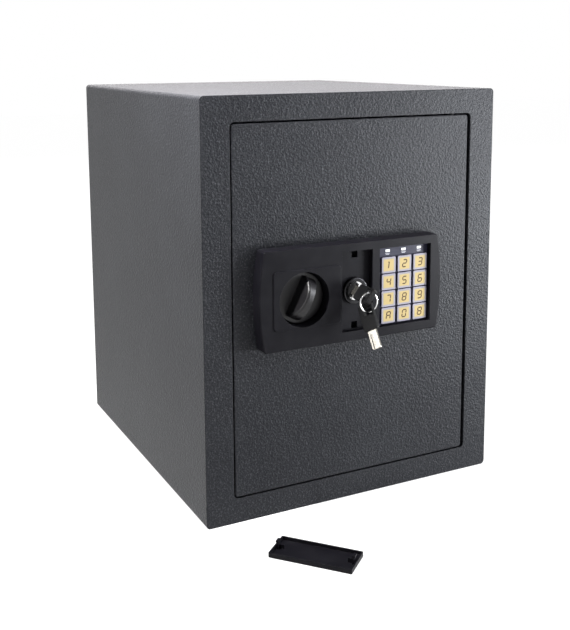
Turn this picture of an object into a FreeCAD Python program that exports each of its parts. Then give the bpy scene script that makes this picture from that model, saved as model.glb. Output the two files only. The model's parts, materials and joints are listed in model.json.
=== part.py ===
import FreeCAD, Part
import math
import os
import re
import Sketcher

# In-room safe: steel cabinet, flush door with two bolts, lock panel with knob, emergency lock
# and keypad, and a loose cover for the emergency lock.
# Frame: origin at the centre of the cabinet's underside, +X right, +Y into the depth, +Z up.

DOC = FreeCAD.newDocument("RoomSafe")
SHEET = DOC.addObject("Spreadsheet::Sheet", "Dims")
NODES = []

# ---------------------------------------------------------------- driving dimensions, millimetres

DIMENSIONS = [
    ("cab_width", 320, "cabinet, left to right"),
    ("cab_depth", 360, "cabinet, front to back"),
    ("cab_height", 400, "cabinet height"),
    ("cab_corner", 4, "outer radius of the cabinet's long edges"),
    ("wall", 2, "sheet of the cabinet"),
    ("frame_plate", 3, "front frame plate"),
    ("opening_half", 132, "half width of the door opening"),
    ("opening_low", 24, "lower edge of the opening"),
    ("opening_high", 376, "upper edge of the opening"),
    ("opening_corner", 4.5, "corner radius of the opening"),
    ("return_depth", 30, "depth of the flange behind the frame plate"),
    ("anchor_radius", 5, "floor and wall anchor holes"),
    ("floor_anchor_span", 220, "floor anchor holes, both ways"),
    ("wall_anchor_span", 200, "wall anchor holes, sideways"),
    ("wall_anchor_level", 220, "height of the wall anchor holes"),
    ("mat_thick", 3, "floor mat"),
    ("mat_margin", 6, "gap from the outer sides to the floor mat"),
    ("mat_front", 140, "front edge of the floor mat, in front of the middle"),
    ("door_left", 130.5, "door edge, left of the centre"),
    ("door_right", 128.5, "door edge, right of the centre"),
    ("door_low", 25.5, "lower door edge"),
    ("door_high", 374.5, "upper door edge"),
    ("door_corner", 3.5, "door corner radius"),
    ("door_edge_round", 0.9, "rounding of the door's front edges"),
    ("door_plate_thick", 4, "door plate"),
    ("hinge_inset", 114.5, "hinge axis, right of the centre"),
    ("hinge_behind", 9, "hinge axis, behind the door face"),
    ("hinge_pin_radius", 3, "hinge pin"),
    ("bush_radius", 5, "hinge bush in the frame's return"),
    ("running", 0.05, "radial clearance of running fits"),
    ("loose", 0.3, "clearance of loose fits"),
    ("cover_left", 122, "inner door cover, left of the centre"),
    ("cover_right", 104, "inner door cover, right of the centre"),
    ("cover_low", 36, "inner door cover, lower edge"),
    ("cover_high", 364, "inner door cover, upper edge"),
    ("cover_depth", 32, "inner door cover, depth"),
    ("cover_sheet", 1.2, "inner door cover, sheet"),
    ("cover_lip", 8, "screw lip of the inner door cover"),
    ("cover_screw_first", 100, "first row of cover screws, left of the centre"),
    ("cover_screw_next", 9, "middle row of cover screws, left of the centre"),
    ("cover_screw_last", 82, "last row of cover screws"),
    ("cover_screw_radius", 1.7, "cover screw shank"),
    ("panel_screw_radius", 1.6, "panel screw shank"),
    ("screw_head_radius", 3.4, "pan head"),
    ("screw_head_high", 2.2, "pan head height"),
    ("reset_right", 88, "reset button, right of the centre"),
    ("reset_level", 320, "reset button height"),
    ("wire_hole_left", 20, "wire hole in the door plate, left side"),
    ("wire_hole_right", 60, "wire hole in the door plate, right side"),
    ("wire_hole_low", 185, "wire hole in the door plate, lower side"),
    ("wire_hole_high", 197, "wire hole in the door plate, upper side"),
    ("panel_left", 106.2, "lock panel corner, left of the centre"),
    ("panel_right", 83.5, "lock panel corner, right of the centre"),
    ("panel_low", 164.5, "lock panel, lower edge"),
    ("panel_high", 259.5, "lock panel, upper edge"),
    ("panel_bulge", 4.8, "outward curve of the panel's short sides"),
    ("panel_deep", 15, "lock panel, thickness"),
    ("panel_skin", 2.5, "lock panel, moulding thickness"),
    ("panel_edge_round", 1.1, "rounding of the panel's front edge"),
    ("plateau_left", 97.3, "raised field round the knob, left side"),
    ("plateau_low", 184, "raised field round the knob, lower side"),
    ("plateau_high", 240, "raised field round the knob, upper side"),
    ("knob_left", 65.5, "knob axis, left of the centre"),
    ("knob_level", 211, "knob axis height"),
    ("well_radius", 26, "knob well"),
    ("well_floor", 2, "floor of the knob well above the door face"),
    ("disc_radius", 24.8, "knob disc"),
    ("disc_face", 6, "knob disc face above the door face"),
    ("grip_radius", 20.5, "arched outline of the grip"),
    ("grip_base", 15, "grip thickness at the disc"),
    ("grip_crest", 6.5, "grip thickness at the crest"),
    ("grip_sink", 1.5, "depth of the grip's foot inside the disc"),
    ("grip_tilt", 27, "knob at rest, degrees clockwise"),
    ("shaft_radius", 5, "knob shaft"),
    ("crank_radius", 13.14, "crank pin's circle"),
    ("crank_lead", 37.5, "crank pin before top centre at rest, degrees"),
    ("crank_pin_radius", 3, "crank pin"),
    ("crank_sheet", 3, "crank disc"),
    ("bolt_throw", 16, "bolt travel"),
    ("bolt_radius", 8, "locking bolt"),
    ("bolt_behind", 22, "bolt axis, behind the door face"),
    ("bolt_low", 120, "lower bolt height"),
    ("bolt_high", 280, "upper bolt height"),
    ("bolt_tip", 128, "bolt tip at rest, left of the centre"),
    ("carriage_left", 92, "carriage flange, left of the centre"),
    ("carriage_right", 36, "carriage plate, right edge, left of the centre"),
    ("carriage_behind", 12, "carriage plate front, behind the door face"),
    ("carriage_sheet", 2, "carriage plate"),
    ("carriage_flange", 3, "carriage flange"),
    ("carriage_past", 14, "carriage plate beyond the bolt axes"),
    ("stud_left", 70, "guide studs, left of the centre"),
    ("recess_left", 25, "key recess, left side, left of the centre"),
    ("recess_right", 8.5, "key recess, right side"),
    ("recess_low", 173.8, "key recess, lower side"),
    ("recess_high", 251.5, "key recess, upper side"),
    ("recess_floor", 9, "key recess floor above the door face"),
    ("clip_side", 6.6, "square clip holes in the key recess"),
    ("clip_reach", 34.6, "clip holes, from the recess centre"),
    ("lock_left", 8.2, "emergency lock axis, left of the centre"),
    ("lock_level", 212, "emergency lock axis height"),
    ("lock_collar_radius", 13, "lock collar"),
    ("lock_collar_high", 3.6, "lock collar above the recess floor"),
    ("lock_nut_across", 28, "lock nut, across its flats"),
    ("lock_nut_thick", 4.5, "lock nut"),
    ("lock_body_radius", 11, "lock body"),
    ("plug_radius", 8.95, "lock plug"),
    ("plug_face", 3, "plug face above the recess floor"),
    ("cam_behind", 17, "lock cam, behind the door face"),
    ("cam_sheet", 2, "lock cam"),
    ("cam_half", 4, "half width of the lock cam"),
    ("cam_aside", 16.5, "cam tip, left of the lock axis"),
    ("cam_drop", 34, "cam tip, below the lock axis"),
    ("key_tilt", 38, "key at rest, degrees clockwise"),
    ("blade_wide", 9.2, "key blade width"),
    ("blade_thick", 2.4, "key blade thickness"),
    ("blade_long", 17.5, "key blade length"),
    ("bow_wide", 16, "key bow width"),
    ("bow_long", 25.5, "key bow length"),
    ("bow_thick", 4.2, "key bow thickness"),
    ("bow_front", 41, "key bow's outer end above the door face"),
    ("bow_hole_aside", 2, "ring hole, beside the bow's middle line"),
    ("bow_hole_half", 4.6, "ring hole, half length across the bow"),
    ("bow_hole_in", 7.7, "ring hole, in from the bow's outer end"),
    ("bow_hole_rise", 3.3, "ring hole, half length along the key"),
    ("ring_radius", 9.2, "key ring, middle of the wire"),
    ("ring_wire", 0.85, "key ring, wire radius"),
    ("window_left", 16.5, "keypad window, left side"),
    ("window_right", 75.5, "keypad window, right side"),
    ("window_low", 173.5, "keypad window, lower side"),
    ("window_high", 251, "keypad window, upper side"),
    ("label_face", 9.5, "keypad label above the door face"),
    ("label_thick", 0.5, "keypad label"),
    ("lens_low", 245.7, "status windows, lower side"),
    ("lens_high", 248.1, "status windows, upper side"),
    ("lens_half", 2.3, "status windows, half width"),
    ("lens_aside", 0.3, "status windows, left of the key columns"),
    ("board_front", 6.4, "circuit board front above the door face"),
    ("board_back", 4.8, "circuit board back above the door face"),
    ("key_first", 29, "first key column"),
    ("key_bottom", 183, "lowest key row"),
    ("key_pitch_x", 18.2, "key spacing, sideways"),
    ("key_pitch_z", 16.7, "key spacing, up"),
    ("key_side", 15.7, "key cap side"),
    ("key_stem", 8, "key stem side"),
    ("key_face", 11.6, "key cap face above the door face"),
    ("key_cap", 0.9, "key cap thickness"),
    ("plunger_left", 26, "solenoid plunger axis, left of the centre"),
    ("plunger_radius", 2.5, "solenoid plunger"),
    ("plunger_tip", 179.4, "solenoid plunger tip at rest"),
    ("tongue_low", 180, "carriage tongue, lower edge"),
    ("tongue_high", 191, "carriage tongue, upper edge"),
    ("solenoid_low", 116, "solenoid frame, lower side"),
    ("solenoid_high", 156, "solenoid frame, upper side"),
    ("solenoid_side", 18, "solenoid frame, side"),
    ("solenoid_sheet", 1.5, "solenoid frame, sheet"),
    ("coil_radius", 7.3, "solenoid coil"),
    ("plunger_collar", 12, "plunger collar above the solenoid frame"),
    ("plunger_pin_level", 172, "plunger cross pin height"),
    ("spring_radius", 3.5, "plunger spring, middle of the wire"),
    ("spring_wire", 0.35, "plunger spring, wire radius"),
    ("cell_radius", 7.1, "battery cell"),
    ("cell_long", 50, "battery cell length"),
    ("cell_pitch", 15.5, "battery spacing"),
    ("battery_deep", 20, "battery box, depth"),
    ("battery_skin", 1.5, "battery box, moulding thickness"),
    ("battery_left", 20, "battery box, left side"),
    ("battery_right", 86, "battery box, right side"),
    ("battery_low", 62, "battery box, lower side"),
    ("battery_high", 124, "battery box, upper side"),
    ("shelf_level", 200, "underside of the shelf"),
    ("shelf_half", 155, "half width of the shelf"),
    ("shelf_front", 110, "shelf front edge, in front of the middle"),
    ("shelf_back", 165, "shelf back edge"),
    ("shelf_sheet", 1.5, "shelf sheet"),
    ("shelf_fold", 12, "folded shelf edges, below the shelf's underside"),
    ("bracket_long", 24, "shelf bracket, front to back"),
    ("bracket_wide", 9, "shelf bracket, sideways"),
    ("bracket_drop", 14, "shelf bracket leg"),
    ("bracket_sheet", 1.5, "shelf bracket sheet"),
    ("loose_long", 77, "loose key cover, length"),
    ("loose_wide", 33, "loose key cover, width"),
    ("loose_high", 4.4, "loose key cover, height of its rim"),
    ("loose_skin", 1.5, "loose key cover, moulding thickness"),
    ("loose_left", 93.5, "loose key cover, centre left of the safe's centre"),
    ("loose_before", 88, "loose key cover, centre in front of the door face"),
    ("loose_turn", 49, "loose key cover, degrees clockwise from above"),
    ("clip_half", 2.9, "clips of the loose cover, half width"),
    ("clip_high", 5, "clips of the loose cover, above its rim"),
]


def fill_sheet():
    """One row per dimension: its name, its value with the name as alias, and what it is."""
    for row, (alias, size, note) in enumerate(DIMENSIONS, start=1):
        SHEET.set("A%d" % row, alias)
        SHEET.set("B%d" % row, str(size))
        SHEET.set("C%d" % row, note)
        SHEET.setAlias("B%d" % row, alias)
    DOC.recompute()


ALIASES = {alias for alias, _, _ in DIMENSIONS}
WORD = re.compile(r"[a-z][a-z0-9_]*")
FRONT = "cab_depth / 2"


def formula(text):
    """A formula in dimension names, as an expression that points at the sheet."""
    return WORD.sub(lambda m: "Dims." + m.group(0) if m.group(0) in ALIASES else m.group(0), str(text))


def number(text):
    """The present value of a formula."""
    return float(SHEET.evalExpression(formula(text)))


def bind(obj, prop, text):
    obj.setExpression(prop, formula(text))


def place(obj, base, rotation=None):
    """Put an object at a point given by three formulas, with an optional fixed rotation."""
    if rotation is not None:
        obj.Placement = FreeCAD.Placement(FreeCAD.Vector(), rotation)
    for axis, text in zip("xyz", base):
        bind(obj, "Placement.Base." + axis, text)


def turn(axis, degrees):
    return FreeCAD.Rotation(FreeCAD.Vector(*axis), degrees)


# a cylinder's own axis is Z: these rotations point it along the other axes
ALONG = {
    "z": turn((0, 0, 1), 0),
    "x": turn((0, 1, 0), 90),
    "y": turn((1, 0, 0), -90),
    "front": turn((1, 0, 0), 90),
}

# ---------------------------------------------------------------- solids and booleans


def box(name, corner, size):
    solid = DOC.addObject("Part::Box", name)
    for prop, text in zip(("Length", "Width", "Height"), size):
        bind(solid, prop, text)
    place(solid, corner)
    return solid


def block(name, x_span, y_span, z_span):
    """A box from its lowest to its highest side along each axis."""
    spans = (x_span, y_span, z_span)
    size = ["(%s) - (%s)" % (high, low) for low, high in spans]
    return box(name, [low for low, _ in spans], size)


def cylinder(name, base, radius, length, along="z"):
    solid = DOC.addObject("Part::Cylinder", name)
    bind(solid, "Radius", radius)
    bind(solid, "Height", length)
    place(solid, base, ALONG[along])
    return solid


def hexagon(name, base, across, length, along):
    solid = DOC.addObject("Part::Prism", name)
    solid.Polygon = 6
    bind(solid, "Circumradius", "(%s) / 1.732" % across)
    bind(solid, "Height", length)
    place(solid, base, ALONG[along])
    return solid


def group(name, members):
    compound = DOC.addObject("Part::Compound", name)
    compound.Links = members
    return compound


def cut(name, base, tools):
    result = DOC.addObject("Part::Cut", name)
    result.Base = base
    result.Tool = tools[0] if len(tools) == 1 else group(name + "_tools", tools)
    return result


def fuse(name, members):
    result = DOC.addObject("Part::MultiFuse", name)
    result.Shapes = members
    result.Refine = True
    return result


def node(obj, label):
    """Name a finished sub-part and list it for writing."""
    obj.Label = label
    NODES.append(obj)
    return obj


# ---------------------------------------------------------------- sketches and features


def new_body(name):
    return DOC.addObject("PartDesign::Body", name)


def sketch_on(body, role, name, height="0"):
    """A sketch on one of the body's origin planes, lifted along the plane's normal."""
    sketch = body.newObject("Sketcher::SketchObject", name)
    plane = next(item for item in body.Origin.OriginFeatures if item.Role == role)
    sketch.AttachmentSupport = [(plane, "")]
    sketch.MapMode = "FlatFace"
    bind(sketch, "AttachmentOffset.Base.z", height)
    return sketch


def dimension(sketch, kind, geometry, point, text):
    """Hold a point's distance from the sketch's origin to a formula."""
    constraint = Sketcher.Constraint(kind, -1, 1, geometry, point, number(text))
    index = sketch.addConstraint(constraint)
    sketch.setExpression("Constraints[%d]" % index, formula(text))


def add_radius(sketch, geometry, text):
    index = sketch.addConstraint(Sketcher.Constraint("Radius", geometry, number(text)))
    sketch.setExpression("Constraints[%d]" % index, formula(text))


def add_rectangle(sketch, left, right, low, high):
    x0, x1, y0, y1 = [number(text) for text in (left, right, low, high)]
    corners = [(x0, y0), (x1, y0), (x1, y1), (x0, y1)]
    points = [FreeCAD.Vector(x, y, 0) for x, y in corners]
    first = sketch.GeometryCount
    for side in range(4):
        sketch.addGeometry(Part.LineSegment(points[side], points[(side + 1) % 4]))
    for side in range(4):
        after = first + (side + 1) % 4
        sketch.addConstraint(Sketcher.Constraint("Coincident", first + side, 2, after, 1))
        kind = "Horizontal" if side % 2 == 0 else "Vertical"
        sketch.addConstraint(Sketcher.Constraint(kind, first + side))
    dimension(sketch, "DistanceX", first, 1, left)
    dimension(sketch, "DistanceY", first, 1, low)
    dimension(sketch, "DistanceX", first + 2, 1, right)
    dimension(sketch, "DistanceY", first + 2, 1, high)


def add_circle(sketch, x, y, radius):
    centre = FreeCAD.Vector(number(x), number(y), 0)
    geometry = sketch.addGeometry(Part.Circle(centre, FreeCAD.Vector(0, 0, 1), number(radius)))
    add_radius(sketch, geometry, radius)
    dimension(sketch, "DistanceX", geometry, 3, x)
    dimension(sketch, "DistanceY", geometry, 3, y)


def pad(body, sketch, length, name, both_ways=False):
    feature = body.newObject("PartDesign::Pad", name)
    feature.Profile = sketch
    feature.Midplane = both_ways
    bind(feature, "Length", length)
    return feature


def pocket(body, sketch, depth, name):
    """Cut against the sketch's normal, and make sure that something was cut."""
    DOC.recompute()
    before = body.Shape.Volume
    feature = body.newObject("PartDesign::Pocket", name)
    feature.Profile = sketch
    bind(feature, "Length", depth)
    DOC.recompute()
    if body.Shape.Volume >= before:
        raise RuntimeError(name + " cuts nothing")
    return feature


def round_edges(body, feature, radius, wanted, name, kind="Fillet"):
    DOC.recompute()
    edges = ["Edge%d" % index for index, edge in enumerate(feature.Shape.Edges, 1) if wanted(edge)]
    if not edges:
        raise RuntimeError(name + " finds no edge")
    result = body.newObject("PartDesign::" + kind, name)
    result.Base = (feature, edges)
    bind(result, "Size" if kind == "Chamfer" else "Radius", radius)
    return result


def runs_along(axis):
    """Picks straight edges parallel to one axis (0 for X, 1 for Y, 2 for Z)."""
    def wanted(edge):
        if not isinstance(edge.Curve, Part.Line):
            return False
        return abs(edge.tangentAt(edge.FirstParameter)[axis]) > 0.999
    return wanted


def lies_at(axis, level):
    """Picks edges that lie in the plane where one coordinate has the given value."""
    def wanted(edge):
        bounds = edge.BoundBox
        low = (bounds.XMin, bounds.YMin, bounds.ZMin)[axis]
        high = (bounds.XMax, bounds.YMax, bounds.ZMax)[axis]
        return abs(low - level) < 0.01 and abs(high - level) < 0.01
    return wanted


def slab(name, role, outline, height, length, corner=None, corner_axis=None):
    """A padded rectangle whose corners may be rounded."""
    body = new_body(name)
    sketch = sketch_on(body, role, name + "_outline", height)
    add_rectangle(sketch, *outline)
    last = pad(body, sketch, length, name + "_pad")
    if corner is not None:
        last = round_edges(body, last, corner, runs_along(corner_axis), name + "_corners")
    DOC.recompute()
    return body, last


fill_sheet()

# ---------------------------------------------------------------- cabinet


def square_points(centre_x, span_x, centre_y, span_y):
    """Four formula pairs at the corners of a rectangle."""
    points = []
    for side_x in ("-", "+"):
        for side_y in ("-", "+"):
            x = "(%s) %s (%s) / 2" % (centre_x, side_x, span_x)
            y = "(%s) %s (%s) / 2" % (centre_y, side_y, span_y)
            points.append((x, y))
    return points


def floor_holes(name, radius, length):
    holes = []
    for index, (x, y) in enumerate(square_points("0", "floor_anchor_span", "0", "floor_anchor_span")):
        holes.append(cylinder("%s_%d" % (name, index), (x, y, "-1"), radius, length))
    return holes


def make_cabinet_wrap():
    """Folded sheet round all four sides, between the front frame and the back panel."""
    height = FRONT + " - frame_plate"
    length = "cab_depth - frame_plate - wall"
    outer = ("-cab_width / 2", "cab_width / 2", "0", "cab_height")
    inner = ("-cab_width / 2 + wall", "cab_width / 2 - wall", "wall", "cab_height - wall")
    body = new_body("wrap_body")
    outline = sketch_on(body, "XZ_Plane", "wrap_outline", height)
    add_rectangle(outline, *outer)
    tube = body.newObject("PartDesign::Pad", "wrap_pad")
    tube.Profile = outline
    tube.Reversed = True
    bind(tube, "Length", length)
    rounded = round_edges(body, tube, "cab_corner", runs_along(1), "wrap_corners")
    bore = sketch_on(body, "XZ_Plane", "wrap_bore", height)
    add_rectangle(bore, *inner)
    hollow = pocket(body, bore, length, "wrap_hollow")
    round_edges(body, hollow, "cab_corner - wall", lies_inside_wrap(), "wrap_inner_corners")
    DOC.recompute()
    return node(cut("cabinet_wrap_cut", body, floor_holes("floor_hole", "anchor_radius", 5)), "cabinet_wrap")


def lies_inside_wrap():
    along_depth = runs_along(1)
    half = number("cab_width / 2 - wall")
    low = number("wall")
    high = number("cab_height - wall")

    def wanted(edge):
        point = edge.Vertexes[0].Point
        at_side = abs(abs(point.x) - half) < 0.01
        at_level = min(abs(point.z - low), abs(point.z - high)) < 0.01
        return along_depth(edge) and at_side and at_level
    return wanted


def make_back_panel():
    outline = ("-cab_width / 2", "cab_width / 2", "0", "cab_height")
    body, _ = slab("back_body", "XZ_Plane", outline, "-cab_depth / 2", "wall", "cab_corner", 1)
    holes = []
    for index, side in enumerate(("-", "")):
        at = (side + "wall_anchor_span / 2", "cab_depth / 2 - wall - 1", "wall_anchor_level")
        holes.append(cylinder("wall_hole_%d" % index, at, "anchor_radius", "wall + 2", "y"))
    return node(cut("back_panel_cut", body, holes), "back_panel")


def make_front_frame():
    """Face plate with the door opening, and a flange that runs back round the opening."""
    plate, _ = slab("frame_body", "XZ_Plane", ("-cab_width / 2", "cab_width / 2", "0", "cab_height"),
                    FRONT + " - frame_plate", "frame_plate", "cab_corner", 1)
    low = "opening_low - wall"
    high = "opening_high + wall"
    half = "opening_half + wall"
    flange, _ = slab("return_body", "XZ_Plane", ("-(%s)" % half, half, low, high),
                     FRONT + " - frame_plate - return_depth", "return_depth",
                     "opening_corner + wall", 1)
    opening = ("-opening_half", "opening_half", "opening_low", "opening_high")
    hole, _ = slab("opening_body", "XZ_Plane", opening, FRONT + " - frame_plate - return_depth - 1",
                   "return_depth + frame_plate + 2", "opening_corner", 1)
    tools = [hole]
    for label, level in (("low", "bolt_low"), ("high", "bolt_high")):
        at = ("-opening_half - wall - 2", "-%s + bolt_behind" % FRONT, level)
        tools.append(cylinder("frame_bolt_hole_" + label, at, "bolt_radius + 0.6", "wall + 3", "x"))
    for label, base in (("low", "opening_low - wall - 1"), ("high", "opening_high - 1")):
        at = ("hinge_inset", "-%s + hinge_behind" % FRONT, base)
        tools.append(cylinder("frame_hinge_hole_" + label, at, "bush_radius", "wall + 2"))
    solid = fuse("front_frame_solid", [plate, flange])
    for step, tool in enumerate(tools[:-1]):
        solid = cut("front_frame_cut_%d" % step, solid, [tool])
    return node(cut("front_frame_cut", solid, [tools[-1]]), "front_frame")


def make_hinge_bushes():
    """Flanged plastic bushes in the frame's upper and lower returns."""
    bushes = []
    at = ("hinge_inset", "-%s + hinge_behind" % FRONT)
    for label, sleeve, collar in (("low", "opening_low - wall", "opening_low - wall - 1.5"),
                                  ("high", "opening_high", "opening_high + wall")):
        body = cylinder("bush_body_" + label, at + (sleeve,), "bush_radius", "wall")
        rim = cylinder("bush_rim_" + label, at + (collar,), "bush_radius + 0.9", "1.5")
        solid = fuse("bush_solid_" + label, [body, rim])
        bore = cylinder("bush_bore_" + label, at + (sleeve + " - 3",), "hinge_pin_radius + running", "8")
        bushes.append(cut("bush_" + label, solid, [bore]))
    return node(group("hinge_bush_pair", bushes), "hinge_bushes")


def make_floor_mat():
    mat = block("mat_block", ("-cab_width / 2 + mat_margin", "cab_width / 2 - mat_margin"),
                ("-mat_front", "cab_depth / 2 - mat_margin"), ("wall", "wall + mat_thick"))
    return node(cut("floor_mat_cut", mat, floor_holes("mat_hole", "anchor_radius + 4", 12)), "floor_mat")


def make_shelf_brackets():
    """Four folded tabs on the side walls that carry the shelf."""
    tabs = []
    for side in (-1, 1):
        for station in ("-shelf_front + 20", "shelf_back - 20 - bracket_long"):
            wall_face = "cab_width / 2 - wall"
            x_tab = ("%s - bracket_wide" % wall_face, wall_face)
            x_leg = ("%s - bracket_sheet" % wall_face, wall_face)
            if side < 0:
                x_tab = ("-(%s)" % wall_face, "-(%s) + bracket_wide" % wall_face)
                x_leg = ("-(%s)" % wall_face, "-(%s) + bracket_sheet" % wall_face)
            name = "bracket_%d" % len(tabs)
            y_span = (station, station + " + bracket_long")
            tab = block(name + "_tab", x_tab, y_span, ("shelf_level - bracket_sheet", "shelf_level"))
            leg = block(name + "_leg", x_leg, y_span, ("shelf_level - bracket_drop", "shelf_level"))
            tabs.append(fuse(name, [tab, leg]))
    return node(group("shelf_bracket_set", tabs), "shelf_brackets")


def make_shelf():
    """Removable tray shelf: a flat sheet with folded front and back edges."""
    x_span = ("-shelf_half", "shelf_half")
    sheet = block("shelf_sheet_block", x_span, ("-shelf_front", "shelf_back"),
                  ("shelf_level", "shelf_level + shelf_sheet"))
    front = block("shelf_front_fold", x_span, ("-shelf_front", "-shelf_front + shelf_sheet"),
                  ("shelf_level - shelf_fold", "shelf_level + shelf_sheet"))
    back = block("shelf_back_fold", x_span, ("shelf_back - shelf_sheet", "shelf_back"),
                 ("shelf_level - shelf_fold", "shelf_level + shelf_sheet"))
    return node(fuse("shelf_solid", [sheet, front, back]), "shelf")


# ---------------------------------------------------------------- door


def panel_screw_places():
    """Screw places of the lock panel, inside its four corners."""
    xs = ("-panel_left + 9", "panel_right - 2")
    zs = ("panel_low + 4.6", "panel_high - 4.6")
    return [(x, z) for x in xs for z in zs]


def cover_screw_places():
    xs = ("-cover_screw_first", "-cover_screw_next", "cover_screw_last")
    zs = ("cover_low - cover_lip / 2", "cover_high + cover_lip / 2")
    return [(x, z) for x in xs for z in zs]


def make_door_plate():
    """Flush steel plate with rounded front edges and its through holes."""
    body, last = slab("door_body", "XZ_Plane", ("-door_left", "door_right", "door_low", "door_high"),
                      FRONT + " - door_plate_thick", "door_plate_thick", "door_corner", 1)
    round_edges(body, last, "door_edge_round", lies_at(1, -number(FRONT)), "door_front_edges")
    DOC.recompute()
    start = "-%s - 1" % FRONT
    through = "door_plate_thick + 2"
    tools = [
        cylinder("door_shaft_hole", ("-knob_left", start, "knob_level"),
                 "shaft_radius + running", through, "y"),
        cylinder("door_lock_hole", ("-lock_left", start, "lock_level"),
                 "lock_body_radius + 0.2", through, "y"),
        block("door_wire_hole", ("wire_hole_left", "wire_hole_right"), (start, start + " + " + through),
              ("wire_hole_low", "wire_hole_high")),
    ]
    for index, (x, z) in enumerate(panel_screw_places()):
        tools.append(cylinder("door_screw_hole_%d" % index, (x, start, z),
                              "panel_screw_radius + 0.6", through, "y"))
    inner = "-%s + door_plate_thick - 3" % FRONT
    for index, (x, z) in enumerate(cover_screw_places()):
        tools.append(cylinder("door_tapped_hole_%d" % index, (x, inner, z), "cover_screw_radius", "4", "y"))
    return node(cut("door_plate_cut", body, tools), "door_plate")


def make_hinge_parts():
    """Welded blocks behind the door plate and the pins that stand out of them."""
    blocks = []
    pins = []
    back = "-%s + door_plate_thick" % FRONT
    axis_y = "-%s + hinge_behind" % FRONT
    spans = {
        "low": (("cover_low - 8", "cover_low + 10"), "opening_low - wall - 4"),
        "high": (("cover_high - 10", "cover_high + 8"), "cover_high - 8"),
    }
    for label, (z_span, pin_base) in spans.items():
        solid = block("hinge_block_" + label, ("hinge_inset - 7.5", "hinge_inset + 7.5"),
                      (back, back + " + 11"), z_span)
        pin_length = "(opening_high + wall + 4) - (cover_high - 8)"
        at = ("hinge_inset", axis_y, pin_base)
        pins.append(cylinder("hinge_pin_" + label, at, "hinge_pin_radius", pin_length))
        hole = cylinder("hinge_hole_" + label, at, "hinge_pin_radius", pin_length)
        blocks.append(cut("hinge_bracket_" + label, solid, [hole]))
    node(group("hinge_bracket_pair", blocks), "hinge_brackets")
    node(group("hinge_pin_pair", pins), "hinge_pins")


def make_door_cover():
    """Pressed inner cover: a pan with screw lips, bolt holes and a battery opening."""
    back = "-%s + door_plate_thick" % FRONT
    rear = back + " + cover_depth"
    outer = block("cover_outer", ("-cover_left", "cover_right"), (back, rear), ("cover_low", "cover_high"))
    lip = block("cover_lips", ("-cover_left + 4", "cover_right - 6"), (back, back + " + cover_sheet"),
                ("cover_low - cover_lip", "cover_high + cover_lip"))
    inner = block("cover_inner", ("-cover_left + cover_sheet", "cover_right - cover_sheet"),
                  (back + " - 1", rear + " - cover_sheet"),
                  ("cover_low + cover_sheet", "cover_high - cover_sheet"))
    window = block("cover_window", ("battery_left + 4", "battery_right - 4"), (rear + " - 3", rear + " + 1"),
                   ("battery_low + 3", "battery_high - 3"))
    solid = cut("cover_hollow", fuse("cover_solid", [outer, lip]), [inner])
    tools = [window]
    tools.append(cylinder("cover_reset_hole", ("reset_right", rear + " - 3", "reset_level"), "3.6", "4", "y"))
    for label, level in (("low", "bolt_low"), ("high", "bolt_high")):
        at = ("-cover_left - 1", "-%s + bolt_behind" % FRONT, level)
        tools.append(cylinder("cover_bolt_hole_" + label, at, "bolt_radius + loose", "cover_sheet + 2", "x"))
    for index, (x, z) in enumerate(cover_screw_places()):
        tools.append(cylinder("cover_screw_hole_%d" % index, (x, back + " - 1", z),
                              "cover_screw_radius + 0.4", "4", "y"))
    return node(cut("door_cover_cut", solid, tools), "door_cover")


def pan_head_screw(name, place_at, shank_radius, shank_length):
    """A screw along Y. Its head stands on the seat, behind it, and its shank goes to the front."""
    head = cylinder(name + "_head", place_at, "screw_head_radius", "screw_head_high", "y")
    shank = cylinder(name + "_shank", place_at, shank_radius, shank_length, "front")
    return fuse(name, [head, shank])


def make_cover_screws():
    seat = "-%s + door_plate_thick + cover_sheet" % FRONT
    screws = []
    for index, (x, z) in enumerate(cover_screw_places()):
        screws.append(pan_head_screw("cover_screw_%d" % index, (x, seat, z), "cover_screw_radius", "4"))
    return node(group("cover_screw_set", screws), "cover_screws")


def make_panel_screws():
    seat = "-%s + door_plate_thick" % FRONT
    screws = []
    for index, (x, z) in enumerate(panel_screw_places()):
        screws.append(pan_head_screw("panel_screw_%d" % index, (x, seat, z), "panel_screw_radius", "12"))
    return node(group("panel_screw_set", screws), "panel_screws")


# ---------------------------------------------------------------- lock panel


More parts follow.
